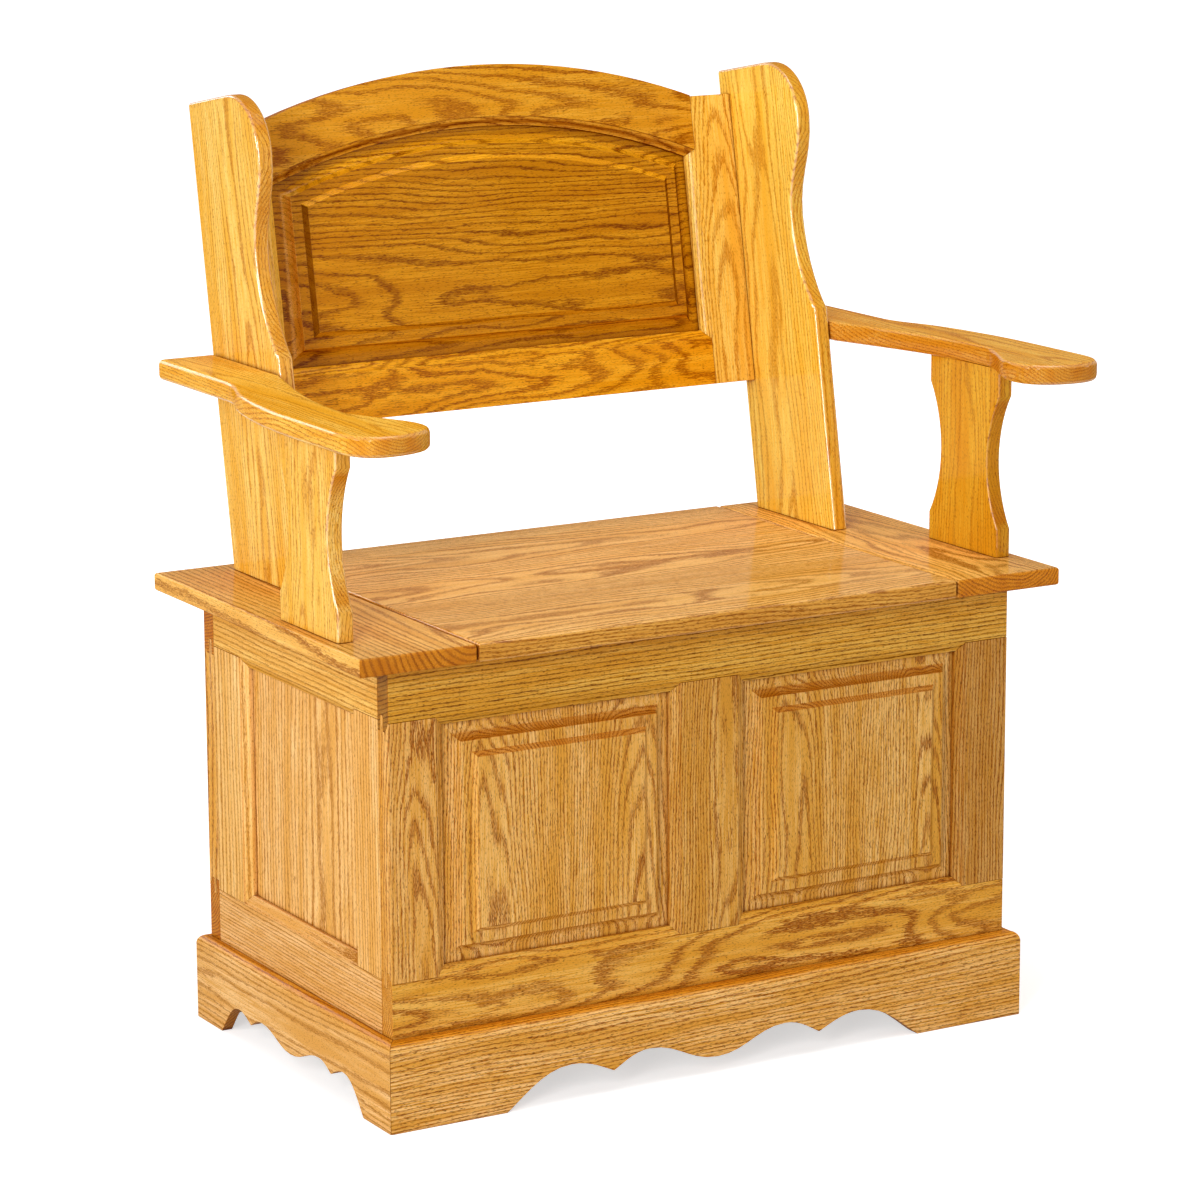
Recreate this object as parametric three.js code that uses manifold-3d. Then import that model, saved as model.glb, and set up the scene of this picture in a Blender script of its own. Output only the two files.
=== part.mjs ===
// Settle bench in oak: a frame and panel chest on a scalloped plinth, with a hinged lid for a seat,
// end caps, a raked panelled back between two shaped posts, and arms on hourglass supports.
// Millimetres, +Z up, +X to the right as seen from the front, front towards -Y.
// The pieces are laid out with y = 0 at the chest's front face and z = 0 on the floor, and the
// finished bench is then moved so that its origin lies under the middle of its box.
import * as THREE from 'three';
import { mergeVertices } from 'three/addons/utils/BufferGeometryUtils.js';
import Module from 'manifold-3d';

const wasm = await Module();
wasm.setup();

// Chest
const caseWidth = 726;
const caseDepth = 414;
const caseBottom = 65;
const seatHeight = 483;
const seatBoard = 19;
const capOverhangSide = 44.5;
const capOverhangFront = 29;
const capOverhangRear = 23;
const capWidth = 126.5;
const lidGap = 3;
const seatRound = 3;

// Frame and panel work
const frameThickness = 22;
const topRailWidth = 65;
const bottomRailWidth = 91;
const stileWidth = 61;
const centreStileWidth = 87;
const sideRearStileWidth = 70;
const stickWidth = 9.5;
const stickStep = 1.5;
const stickDepth = 6.5;
const grooveFront = 11;
const grooveBack = 17;
const grooveDepth = 16;
const panelPlay = 3;
const panelMargin = 35;
const fieldProud = 4;

// Bottom and plinth
const bottomThickness = 12;
const bottomLift = 42;
const cleatSize = 19;
const plinthHeight = 91;
const plinthFrontThickness = 16.5;
const plinthSideThickness = 12;
const plinthRound = 9.5;
const frontFoot = 130.5;
const sideFoot = 59.4;
const rearFoot = 56;
const archRise = 37.8;
const lobeRise = 39;
const cuspRise = 23;
const valleyRise = 17;
const sideArchRise = 35;
const sideCuspRise = 25.5;
const sideValleyRise = 20;
const rearSpaceRise = 42;
const rearSpaceCorner = 18;

// Posts, arms and arm supports
const rake = THREE.MathUtils.degToRad(10.1);
const postSetbackRear = 28;
const postWidth = 155;
const postLength = 484;
const postThickness = 18;
const postSetbackSide = 32.7;
const postWaist = 124.5;
const postCornerHeight = 213;
const postWaistHeight = 315;
const postNoseRadius = 63;
const postRound = 4;
const supportThickness = 18;
const supportSetbackSide = 12.5;
const supportSetbackFront = 70;
const supportWidth = 126;
const supportHeight = 201;
const supportEnd = 30;
const supportWaistCut = 20.5;
const supportRound = 3;
const armThickness = 21;
const armLength = 522;
const armWidth = 102.5;
const armRearSetback = 3;
const armCorner = 8;
const armRound = 5;

// Back
const backStileWidth = 60;
const backBottomRailWidth = 60;
const backTopRailWidth = 65;
const backRailHeight = 141;
const archTop = 504.8;
const archRadius = 754;
const backStileTop = 457;
const backPanelMargin = 35;

// Hinges and their screws
const hingeLength = 64;
const hingeInset = 110;
const leafThickness = 1.6;
const leafWidth = 20;
const knuckleRadius = 3.2;
const pinRadius = 1.8;
const pinHead = 1.5;
const runningGap = 0.1;
const knuckleGap = 0.3;
const screwHeadRadius = 3;
const screwRadius = 1.6;
const screwHeadDepth = 1.5;
const screwLength = 12;
const screwPoint = 3;
const screwSpacing = 40;

// Fit between glued pieces, and how far a cutter runs past what it cuts
const jointGap = 0.3;
const overrun = 4;

// Shares along a moulding's width and of its fall, from the face towards the panel
const ogeeShares = [[0, 0], [0.2, 0.06], [0.4, 0.26], [0.6, 0.62], [0.8, 0.86], [1, 1]];
// Shares of a raised panel's margin and of its rise, from the opening's edge to the field
const raiseShares = [
  [0.17, 0.01],
  [0.33, 0.09],
  [0.43, 0.24],
  [0.49, 0.42],
  [0.525, 0.68],
  [0.857, 0.71],
  [1, 1],
];
// Shares of half the span between two feet: crown of the outer arch, cusp, crown of the inner lobe
const frontScallopShares = [0.7, 0.5, 0.33];
const sideScallopShares = [0.74, 0.565, 0.405];
// Arm outline as shares of its width from the post and of its length from the rear end: the flare
// behind, the long outer edge, the round front, the inner bulge, and the sweep back to the post
const armRearShare = 0.64;
const armFlareShare = 0.31;
const armCurveShares = [
  [[0.64, 0.352], [0.735, 0.39], [0.8, 0.425]],
  [[0.886, 0.476], [1, 0.6], [1, 0.733]],
  [[1, 0.79], [1, 0.85], [1, 0.905]],
  [[1, 0.966], [0.85, 1], [0.62, 1]],
  [[0.338, 1], [0.07, 0.973], [0.07, 0.914]],
  [[0.07, 0.857], [0.328, 0.81], [0.413, 0.733]],
];
const armSweepShares = [[0.44, 0.562], [0.14, 0.4]];
// Share of a curve's run that its handles take, and of that again where the curve meets a point
const handleShare = 0.42;
const pointedShare = 0.7;

// Share of a plinth board's thickness that its rounded edge may take
const plinthRoundShare = 0.85;

// Counts of facets
const curveSteps = 7;
const archSteps = 12;
const roundSteps = 3;
const turnSteps = 20;

// Worked out from the sizes above
const caseTop = seatHeight - seatBoard;
const caseHeight = caseTop - caseBottom;
const capOuter = caseWidth / 2 + capOverhangSide;
const capInner = capOuter - capWidth;
const seatFront = -capOverhangFront;
const seatRear = caseDepth + capOverhangRear;
const postFoot = seatRear - postSetbackRear;
const postOuter = caseWidth / 2 - postSetbackSide;
const postInset = postOuter - postThickness;
const supportFront = seatFront + supportSetbackFront;
const supportInset = capOuter - supportSetbackSide - supportThickness;
const armUnder = seatHeight + supportHeight;
const hingeY = caseDepth + jointGap + knuckleRadius;
const hingeZ = caseTop + jointGap + leafThickness - knuckleRadius;
const lidUnder = caseTop + jointGap;
const lidHalf = capInner - lidGap;

// Materials, one for each look
function finish(color, roughness, metalness = 0) {
  return new THREE.MeshStandardMaterial({ color, roughness, metalness });
}
const oakFrame = finish(0xc98f45, 0.35);
const oakPanel = finish(0xc78a3e, 0.35);
const oakBackPanel = finish(0xb87328, 0.35);
const oakSeat = finish(0xd69a55, 0.3);
const oakUpright = finish(0xe0ac58, 0.3);
const oakInside = finish(0xc9a36c, 0.6);
const brass = finish(0xb5964e, 0.35, 1);

const bench = new THREE.Group();

function add(parent, name, geometry, material) {
  const mesh = new THREE.Mesh(geometry, material);
  mesh.name = name;
  parent.add(mesh);
}

// Three.js geometry to a solid that can be joined and cut, and back
function toSolid(geometry) {
  const bare = geometry.clone();
  bare.deleteAttribute('normal');
  bare.deleteAttribute('uv');
  const merged = mergeVertices(bare);
  return new wasm.Manifold(new wasm.Mesh({
    numProp: 3,
    vertProperties: merged.attributes.position.array,
    triVerts: Uint32Array.from(merged.index.array),
  }));
}

function toGeometry(solid) {
  const mesh = solid.getMesh();
  const geometry = new THREE.BufferGeometry();
  geometry.setAttribute('position', new THREE.BufferAttribute(mesh.vertProperties, mesh.numProp));
  geometry.setIndex(new THREE.BufferAttribute(mesh.triVerts, 1));
  return geometry;
}

function cut(geometry, cutters) {
  return toGeometry(cutters.reduce((solid, cutter) => solid.subtract(toSolid(cutter)), toSolid(geometry)));
}

function keep(geometry, limits) {
  return toGeometry(limits.reduce((solid, limit) => solid.intersect(toSolid(limit)), toSolid(geometry)));
}

function join(first, second) {
  return toGeometry(toSolid(first).add(toSolid(second)));
}

function outlineOf(points) {
  return new THREE.Shape(points.map(([a, b]) => new THREE.Vector2(a, b)));
}

function block(xs, ys, zs) {
  const geometry = new THREE.BoxGeometry(xs[1] - xs[0], ys[1] - ys[0], zs[1] - zs[0]);
  return geometry.translate((xs[0] + xs[1]) / 2, (ys[0] + ys[1]) / 2, (zs[0] + zs[1]) / 2);
}

// Turns that lay a drawing of x and y in the plane named, with its thickness along the third axis
const layTurns = {
  xy: new THREE.Matrix4(),
  yz: new THREE.Matrix4().set(0, 0, 1, 0, 1, 0, 0, 0, 0, 1, 0, 0, 0, 0, 0, 1),
  xz: new THREE.Matrix4().set(1, 0, 0, 0, 0, 0, -1, 0, 0, 1, 0, 0, 0, 0, 0, 1),
};

// An outline drawn in the plane named and carried from one place to another on the third axis,
// with its long edges rounded when a radius is given
function prism(outline, plane, from, to, radius = 0) {
  const geometry = new THREE.ExtrudeGeometry(outline, {
    depth: to - from - 2 * radius,
    curveSegments: curveSteps,
    bevelEnabled: radius > 0,
    bevelThickness: radius,
    bevelSize: radius,
    bevelOffset: -radius,
    bevelSegments: roundSteps,
  });
  geometry.translate(0, 0, radius + (plane === 'xz' ? -to : from));
  return geometry.applyMatrix4(layTurns[plane]);
}

// Rings of equally many points joined side to side, with both ends closed as the last ring is drawn
function loft(rings, drawing) {
  const count = rings[0].length;
  const last = (rings.length - 1) * count;
  const index = [];
  for (let ring = 0; ring < rings.length - 1; ring += 1) {
    for (let point = 0; point < count; point += 1) {
      const here = ring * count + point;
      const next = ring * count + (point + 1) % count;
      index.push(here, next, next + count, here, next + count, here + count);
    }
  }
  const ends = THREE.ShapeUtils.triangulateShape(drawing.map(([a, b]) => new THREE.Vector2(a, b)), []);
  ends.forEach(([a, b, c]) => index.push(c, b, a, last + a, last + b, last + c));
  const geometry = new THREE.BufferGeometry();
  geometry.setAttribute('position', new THREE.Float32BufferAttribute(rings.flat(2), 3));
  geometry.setIndex(index);
  return geometry;
}

// A frame is drawn facing the viewer: x to the right, y up, its face at z = 0 and its back behind.
// A member's section runs from its outer edge to its moulded, grooved inner edge. A cutter for
// what fits over a member is the same section, grown by the gap and run past face and back.
function stickPoints(width, grow, over) {
  const edge = width + grow;
  const moulding = ogeeShares.map(([along, fall]) => [
    edge - stickWidth + along * stickWidth,
    -(stickStep + fall * (stickDepth - stickStep)),
  ]);
  return [
    [edge - stickWidth, over],
    ...moulding,
    [edge, -(grooveFront + grow)],
    [edge - grooveDepth, -(grooveFront + grow)],
    [edge - grooveDepth, -(grooveBack - grow)],
    [edge, -(grooveBack - grow)],
    [edge, -(frameThickness + over)],
  ];
}

function memberOutline(width, grow = 0, over = 0) {
  return outlineOf([[-over, over], ...stickPoints(width, grow, over), [-over, -(frameThickness + over)]]);
}

function centreOutline(width) {
  const side = stickPoints(width / 2, 0, 0);
  return outlineOf([...side, ...side.map(([across, depth]) => [-across, depth]).reverse()]);
}

const sideTurns = { bottom: 0, right: Math.PI / 2, top: Math.PI, left: -Math.PI / 2 };

// A straight member on one side of a frame, running from one place to another along that side
function member(frame, side, width, from, to, grow = 0, over = 0) {
  const turned = side === 'top' || side === 'left';
  const start = (turned ? -to : from) - over;
  const end = (turned ? -from : to) + over;
  const geometry = prism(memberOutline(width, grow, over), 'yz', start, end).rotateZ(sideTurns[side]);
  const shifts = {
    bottom: [0, 0],
    top: [0, frame.height],
    left: [-frame.width / 2, 0],
    right: [frame.width / 2, 0],
  };
  return geometry.translate(...shifts[side], 0);
}

function boxRing(opening, inset, depth) {
  return [
    [opening.left + inset, opening.bottom + inset, -depth],
    [opening.right - inset, opening.bottom + inset, -depth],
    [opening.right - inset, opening.top - inset, -depth],
    [opening.left + inset, opening.top - inset, -depth],
  ];
}

// The same ring with an arched top, whose centre and radius the opening names
function archRing(opening, inset, depth) {
  const half = opening.right - inset;
  const radius = opening.radius - inset;
  const arch = Array.from({ length: archSteps + 1 }, (_, step) => {
    const x = half - (2 * half * step) / archSteps;
    return [x, opening.centre + Math.sqrt(radius * radius - x * x), -depth];
  });
  return [[-half, opening.bottom + inset, -depth], [half, opening.bottom + inset, -depth], ...arch];
}

// A panel with a tongue in the frame's groove, a cove, a shelf and a bevel up to its field, which
// stands a little proud of the frame
function raisedPanel(ringOf, opening, margin) {
  const reach = panelPlay - grooveDepth;
  const tongueFront = grooveFront + jointGap;
  const tongueBack = grooveBack - jointGap;
  const rise = tongueFront + fieldProud;
  const rings = [
    ringOf(opening, reach, tongueBack),
    ringOf(opening, reach, tongueFront),
    ...raiseShares.map(([along, up]) => ringOf(opening, along * margin, tongueFront - up * rise)),
  ];
  return loft(rings, rings.at(-1));
}

function flatPanel(opening) {
  const reach = panelPlay - grooveDepth;
  return block(
    [opening.left + reach, opening.right - reach],
    [opening.bottom + reach, opening.top - reach],
    [-(grooveBack - jointGap), -(grooveFront + jointGap)],
  );
}

// A frame whose rails run through from side to side, with its stiles coped over them
function chestFrame(prefix, frame, leftWidth, rightWidth) {
  const group = new THREE.Group();
  const half = frame.width / 2;
  const low = bottomRailWidth - grooveDepth;
  const high = frame.height - topRailWidth + grooveDepth;
  const rails = [['bottom', bottomRailWidth], ['top', topRailWidth]];
  const copes = rails.map(([side, width]) => member(frame, side, width, -half, half, jointGap, overrun));
  rails.forEach(([side, width]) => {
    add(group, `${prefix}_${side}_rail`, member(frame, side, width, -half, half), oakFrame);
  });
  const stiles = [['left', leftWidth], ['right', rightWidth]];
  stiles.forEach(([side, width]) => {
    const name = `${prefix}_${frame.stileNames[side]}_stile`;
    add(group, name, cut(member(frame, side, width, low, high), copes), oakFrame);
  });
  return { group, low, high, copes };
}

function openingOf(frame, left, right) {
  return { left, right, bottom: bottomRailWidth, top: frame.height - topRailWidth };
}

// Front: two raised panels either side of a centre stile
function buildFront() {
  const frame = { width: caseWidth, height: caseHeight, stileNames: { left: 'left', right: 'right' } };
  const { group, low, high, copes } = chestFrame('front', frame, stileWidth, stileWidth);
  const centre = prism(centreOutline(centreStileWidth), 'yz', low, high).rotateZ(sideTurns.right);
  add(group, 'front_centre_stile', cut(centre, copes), oakFrame);
  const outer = caseWidth / 2 - stileWidth;
  const inner = centreStileWidth / 2;
  const leftPanel = raisedPanel(boxRing, openingOf(frame, -outer, -inner), panelMargin);
  const rightPanel = raisedPanel(boxRing, openingOf(frame, inner, outer), panelMargin);
  add(group, 'front_left_panel', leftPanel, oakPanel);
  add(group, 'front_right_panel', rightPanel, oakPanel);
  group.rotation.x = Math.PI / 2;
  group.position.set(0, 0, caseBottom);
  bench.add(group);
}

// Back of the chest: one wide flat panel
function buildRear() {
  const frame = { width: caseWidth, height: caseHeight, stileNames: { left: 'right', right: 'left' } };
  const { group } = chestFrame('rear', frame, stileWidth, stileWidth);
  const outer = caseWidth / 2 - stileWidth;
  add(group, 'rear_panel', flatPanel(openingOf(frame, -outer, outer)), oakPanel);
  group.rotation.set(Math.PI / 2, 0, Math.PI, 'ZYX');
  group.position.set(0, caseDepth, caseBottom);
  const places = [-1, 1].flatMap((side) => screwPlaces(side * hingePlace()));
  drillRear(group, places.map((place) => rearScrew(place, jointGap)));
  bench.add(group);
}

// The rear top rail takes the screws of the hinges' lower leaves, bored in the bench's own frame
function drillRear(group, holes) {
  group.updateMatrixWorld(true);
  const back = group.matrixWorld.clone().invert();
  const rail = group.getObjectByName('rear_top_rail');
  rail.geometry = cut(rail.geometry, holes.map((hole) => hole.applyMatrix4(back)));
}

// Sides: flat panels between the front and the rear frame
function buildSide(side) {
  const name = side < 0 ? 'left' : 'right';
  const depth = caseDepth - 2 * frameThickness - 2 * jointGap;
  const ends = side < 0 ? { left: 'rear', right: 'front' } : { left: 'front', right: 'rear' };
  const widths = { front: stileWidth, rear: sideRearStileWidth };
  const frame = { width: depth, height: caseHeight, stileNames: ends };
  const { group } = chestFrame(`${name}_side`, frame, widths[ends.left], widths[ends.right]);
  const opening = openingOf(frame, widths[ends.left] - depth / 2, depth / 2 - widths[ends.right]);
  add(group, `${name}_side_panel`, flatPanel(opening), oakPanel);
  group.rotation.set(Math.PI / 2, 0, (side * Math.PI) / 2, 'ZYX');
  group.position.set((side * caseWidth) / 2, caseDepth / 2, caseBottom);
  bench.add(group);
}

// Bottom board on two cleats, inside the chest
function buildBottom() {
  const inner = frameThickness + jointGap;
  const half = caseWidth / 2 - inner;
  const top = caseBottom + bottomLift;
  const under = top - bottomThickness;
  add(bench, 'bottom_panel', block([-half, half], [inner, caseDepth - inner], [under, top]), oakInside);
  const cleatZ = [under - jointGap - cleatSize, under - jointGap];
  const front = [inner, inner + cleatSize];
  const rear = [caseDepth - inner - cleatSize, caseDepth - inner];
  add(bench, 'front_cleat', block([-half, half], front, cleatZ), oakInside);
  add(bench, 'rear_cleat', block([-half, half], rear, cleatZ), oakInside);
}

// A curve from one knot to the next, level where a knot is level and slanting where it is pointed
function easeTo(shape, from, to) {
  const run = handleShare * (to.x - from.x);
  const climb = handleShare * (to.z - from.z);
  const leave = from.level ? [from.x + run, from.z] : [from.x + pointedShare * run, from.z + climb];
  const arrive = to.level ? [to.x - run, to.z] : [to.x - pointedShare * run, to.z - climb];
  shape.bezierCurveTo(...leave, ...arrive, to.x, to.z);
}

// The space under a plinth board, between its feet: on each side of a drop in the middle, a lobe
// and an arch with a cusp between them
function scallopSpace(start, end, rises, [crown, cusp, lobe]) {
  const middle = (start + end) / 2;
  const half = (end - start) / 2;
  const knots = [
    { share: 1, z: 0, level: false },
    { share: crown, z: rises.arch, level: true },
    { share: cusp, z: rises.cusp, level: false },
    { share: lobe, z: rises.lobe, level: true },
    { share: 0, z: rises.valley, level: true },
  ];
  const near = knots.map((knot) => ({ ...knot, x: middle - knot.share * half }));
  const far = knots.slice(0, -1).reverse().map((knot) => ({ ...knot, x: middle + knot.share * half }));
  const path = [...near, ...far];
  const shape = new THREE.Shape();
  shape.moveTo(start, -overrun);
  shape.lineTo(start, 0);
  path.slice(1).forEach((knot, index) => easeTo(shape, path[index], knot));
  shape.lineTo(end, -overrun);
  return shape;
}

// The plain space under the rear plinth board, with rounded upper corners
function plainSpace(half) {
  const shape = new THREE.Shape();
  shape.moveTo(-half, -overrun);
  shape.lineTo(-half, rearSpaceRise - rearSpaceCorner);
  shape.quadraticCurveTo(-half, rearSpaceRise, rearSpaceCorner - half, rearSpaceRise);
  shape.lineTo(half - rearSpaceCorner, rearSpaceRise);
  shape.quadraticCurveTo(half, rearSpaceRise, half, rearSpaceRise - rearSpaceCorner);
  shape.lineTo(half, -overrun);
  return shape;
}

// Section of a plinth board, from its back to its face, with the top front edge rounded
function plinthSection(face, back) {
  const out = Math.sign(face - back);
  const run = Math.min(plinthRound, plinthRoundShare * Math.abs(face - back));
  const shape = new THREE.Shape();
  shape.moveTo(back, 0);
  shape.lineTo(face, 0);
  shape.lineTo(face, plinthHeight - plinthRound);
  const turn = out > 0 ? [0, Math.PI / 2, false] : [Math.PI, Math.PI / 2, true];
  shape.absellipse(face - out * run, plinthHeight - plinthRound, run, plinthRound, ...turn);
  shape.lineTo(back, plinthHeight);
  return shape;
}

// Backs and faces of the plinth's boards, out from the middle for the sides
function plinthFaces() {
  const sideBack = caseWidth / 2 + jointGap;
  const rearBack = caseDepth + jointGap;
  return {
    side: { back: sideBack, face: sideBack + plinthSideThickness },
    front: { back: -jointGap, face: -jointGap - plinthFrontThickness },
    rear: { back: rearBack, face: rearBack + plinthSideThickness },
  };
}

// A plinth board kept inside its mitred plan, with the space between its feet cut out
function plinthBoard(board, plan, space) {
  return cut(keep(board, [prism(outlineOf(plan), 'xy', -overrun, plinthHeight + overrun)]), [space]);
}

// A plinth board across the front or the rear
function crossBoard({ back, face }, side, space) {
  const longHalf = side.face - jointGap / 2;
  const shortHalf = side.back - jointGap / 2;
  const plan = [[-longHalf, face], [longHalf, face], [shortHalf, back], [-shortHalf, back]];
  const board = prism(plinthSection(face, back), 'yz', -side.face, side.face);
  const from = Math.min(face, back) - overrun;
  const to = Math.max(face, back) + overrun;
  return plinthBoard(board, plan, prism(space, 'xz', from, to));
}

// Plinth: four boards round the case, mitred at the corners
function buildPlinth() {
  const { side, front, rear } = plinthFaces();
  const span = side.face - frontFoot;
  const rises = { arch: archRise, lobe: lobeRise, cusp: cuspRise, valley: valleyRise };
  const scallops = scallopSpace(-span, span, rises, frontScallopShares);
  add(bench, 'plinth_front', crossBoard(front, side, scallops), oakFrame);
  add(bench, 'plinth_rear', crossBoard(rear, side, plainSpace(side.face - rearFoot)), oakFrame);
  buildPlinthSide('plinth_left', -1);
  buildPlinthSide('plinth_right', 1);
}

function buildPlinthSide(name, sign) {
  const { side, front, rear } = plinthFaces();
  const face = sign * side.face;
  const back = sign * side.back;
  const gap = jointGap / 2;
  const plan = [
    [face, front.face + gap],
    [face, rear.face - gap],
    [back, rear.back - gap],
    [back, front.back + gap],
  ];
  const board = prism(plinthSection(face, back), 'xz', front.face, rear.face);
  const rises = { arch: sideArchRise, lobe: sideArchRise, cusp: sideCuspRise, valley: sideValleyRise };
  const space = scallopSpace(front.face + sideFoot, rear.face - sideFoot, rises, sideScallopShares);
  const from = Math.min(face, back) - overrun;
  const to = Math.max(face, back) + overrun;
  add(bench, name, plinthBoard(board, plan, prism(space, 'yz', from, to)), oakFrame);
}

function rectangle(xs, ys) {
  return outlineOf([[xs[0], ys[0]], [xs[1], ys[0]], [xs[1], ys[1]], [xs[0], ys[1]]]);
}

function hingePlace() {
  return lidHalf - hingeInset - hingeLength / 2;
}

function screwPlaces(x) {
  return [x - screwSpacing / 2, x + screwSpacing / 2];
}

// Caps at both ends of the seat, and the lid between them with its hinge recesses
function buildSeat() {
  const ys = [seatFront, seatRear];
  const left = rectangle([-capOuter, -capInner], ys);
  const right = rectangle([capInner, capOuter], ys);
  add(bench, 'left_cap', prism(left, 'xy', caseTop, seatHeight, seatRound), oakSeat);
  add(bench, 'right_cap', prism(right, 'xy', caseTop, seatHeight, seatRound), oakSeat);
  const plan = rectangle([-lidHalf, lidHalf], ys);
  const board = prism(plan, 'xy', lidUnder, lidUnder + seatBoard, seatRound);
  const cutters = [-1, 1].flatMap((side) => {
    const x = side * hingePlace();
    const half = hingeLength / 2 + pinHead + jointGap;
    const recess = block(
      [x - half, x + half],
      [hingeY - leafWidth - jointGap, hingeY + knuckleRadius + jointGap],
      [lidUnder - overrun, hingeZ + knuckleRadius + jointGap],
    );
    return [recess, ...screwPlaces(x).map((place) => lidScrew(place, jointGap))];
  });
  add(bench, 'lid', cut(board, cutters), oakSeat);
}

// A post, drawn with its height along the rake first and its depth forward of the rear edge second
function postOutline(footDrop) {
  const shape = new THREE.Shape();
  const nose = postWidth - postNoseRadius;
  const noseHeight = postLength - postNoseRadius;
  const lower = handleShare * (postWaistHeight - postCornerHeight);
  const upper = handleShare * (noseHeight - postWaistHeight);
  const bend = postWidth - postWaist;
  shape.moveTo(-footDrop, 0);
  shape.lineTo(-footDrop, postWidth);
  shape.lineTo(postCornerHeight, postWidth);
  const cornerHandle = [postCornerHeight + lower / 2, postWidth - bend / 2];
  shape.bezierCurveTo(...cornerHandle, postWaistHeight - lower, postWaist, postWaistHeight, postWaist);
  const noseHandle = [noseHeight - upper, postWidth];
  shape.bezierCurveTo(postWaistHeight + upper, postWaist, ...noseHandle, noseHeight, postWidth);
  shape.absarc(noseHeight, nose, postNoseRadius, Math.PI / 2, 0, true);
  shape.lineTo(postLength, 0);
  return shape;
}

// Posts and back stand in a group that leans back at the rake, hinged on the posts' rear foot
function buildPostsAndBack() {
  const group = new THREE.Group();
  const footDrop = postWidth * Math.tan(rake) + overrun;
  const reach = postLength + postWidth;
  const above = block([-capOuter, capOuter], [-reach, reach], [0, reach])
    .translate(0, 0, jointGap)
    .rotateX(rake - Math.PI / 2);
  [-1, 1].forEach((side) => {
    const from = Math.min(side * postInset, side * postOuter);
    const post = prism(postOutline(footDrop), 'yz', from, from + postThickness, postRound);
    add(group, side < 0 ? 'left_post' : 'right_post', keep(post, [above]), oakUpright);
  });
  group.add(buildBack());
  group.rotation.x = Math.PI / 2 - rake;
  group.position.set(0, postFoot, seatHeight);
  bench.add(group);
}

// Back: stiles that run through, rails coped between them, the top rail arched
function buildBack() {
  const group = new THREE.Group();
  const frame = { width: 2 * (postInset - jointGap), height: backStileTop };
  const half = frame.width / 2;
  const centre = archTop - archRadius;
  const run = [backRailHeight, backStileTop];
  const stile = (side, grow, over) => member(frame, side, backStileWidth, ...run, grow, over);
  add(group, 'back_left_stile', stile('left', 0, 0), oakUpright);
  add(group, 'back_right_stile', stile('right', 0, 0), oakUpright);
  const copes = ['left', 'right'].map((side) => stile(side, jointGap, overrun));
  const railReach = half - backStileWidth + grooveDepth;
  const lower = prism(memberOutline(backBottomRailWidth), 'yz', -railReach, railReach);
  add(group, 'back_bottom_rail', cut(lower.translate(0, backRailHeight, 0), copes), oakUpright);
  const shoulders = [-1, 1].map((side) => {
    const xs = [side * (half - backStileWidth + stickWidth), side * (half + overrun)].sort((a, b) => a - b);
    return block(xs, [backStileTop, archTop], [-(frameThickness + overrun), overrun]);
  });
  add(group, 'back_top_rail', cut(archedRail(centre, railReach), [...copes, ...shoulders]), oakUpright);
  const opening = {
    right: half - backStileWidth,
    bottom: backRailHeight + backBottomRailWidth,
    radius: archRadius - backTopRailWidth,
    centre,
  };
  add(group, 'back_panel', raisedPanel(archRing, opening, backPanelMargin), oakBackPanel);
  group.position.z = frameThickness;
  return group;
}

// The top rail's section carried round the arch's centre, a little past both its ends
function archedRail(centre, reach) {
  const section = [[0, 0], ...stickPoints(backTopRailWidth, 0, 0), [0, -frameThickness]].reverse();
  const sweep = Math.asin((reach + overrun) / (archRadius - backTopRailWidth));
  const rings = Array.from({ length: 2 * archSteps + 1 }, (_, step) => {
    const angle = sweep - (sweep * step) / archSteps;
    return section.map(([across, depth]) => {
      const radius = archRadius - across;
      return [radius * Math.sin(angle), centre + radius * Math.cos(angle), depth];
    });
  });
  const trim = block([-reach, reach], [0, archTop + overrun], [-(frameThickness + overrun), overrun]);
  return keep(loft(rings, section), [trim]);
}

// Hourglass supports: straight ends and an arc cut into both edges
function supportOutline() {
  const low = seatHeight;
  const high = armUnder;
  const arcHalf = (high - low) / 2 - supportEnd;
  const middle = (low + high) / 2;
  const radius = (arcHalf * arcHalf + supportWaistCut * supportWaistCut) / (2 * supportWaistCut);
  const spread = Math.asin(arcHalf / radius);
  const front = supportFront;
  const rear = supportFront + supportWidth;
  const shape = new THREE.Shape();
  shape.moveTo(front, low - overrun);
  shape.lineTo(rear, low - overrun);
  shape.lineTo(rear, low + supportEnd);
  shape.absarc(rear + radius - supportWaistCut, middle, radius, Math.PI + spread, Math.PI - spread, true);
  shape.lineTo(rear, high + overrun);
  shape.lineTo(front, high + overrun);
  shape.lineTo(front, high - supportEnd);
  shape.absarc(front - radius + supportWaistCut, middle, radius, spread, -spread, true);
  shape.lineTo(front, low - overrun);
  return shape;
}

// Arm outline, out from the post's face and forward from its rear end
function armOutline(side, rear) {
  const inner = postOuter + jointGap;
  const place = ([across, along]) => [side * (inner + across * armWidth), rear - along * armLength];
  const beside = postWidth / Math.cos(rake) - armRearSetback;
  const [firstHandle, secondHandle] = armSweepShares;
  const shape = new THREE.Shape();
  const rearWidth = armRearShare * armWidth;
  shape.moveTo(side * inner, rear);
  shape.lineTo(side * (inner + rearWidth - armCorner), rear);
  const outer = side * (inner + rearWidth);
  shape.quadraticCurveTo(outer, rear, outer, rear - armCorner);
  shape.lineTo(...place([armRearShare, armFlareShare]));
  armCurveShares.forEach((curve) => shape.bezierCurveTo(...curve.flatMap(place)));
  shape.bezierCurveTo(...place(firstHandle), ...place(secondHandle), side * inner, rear - beside);
  return shape;
}

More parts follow.
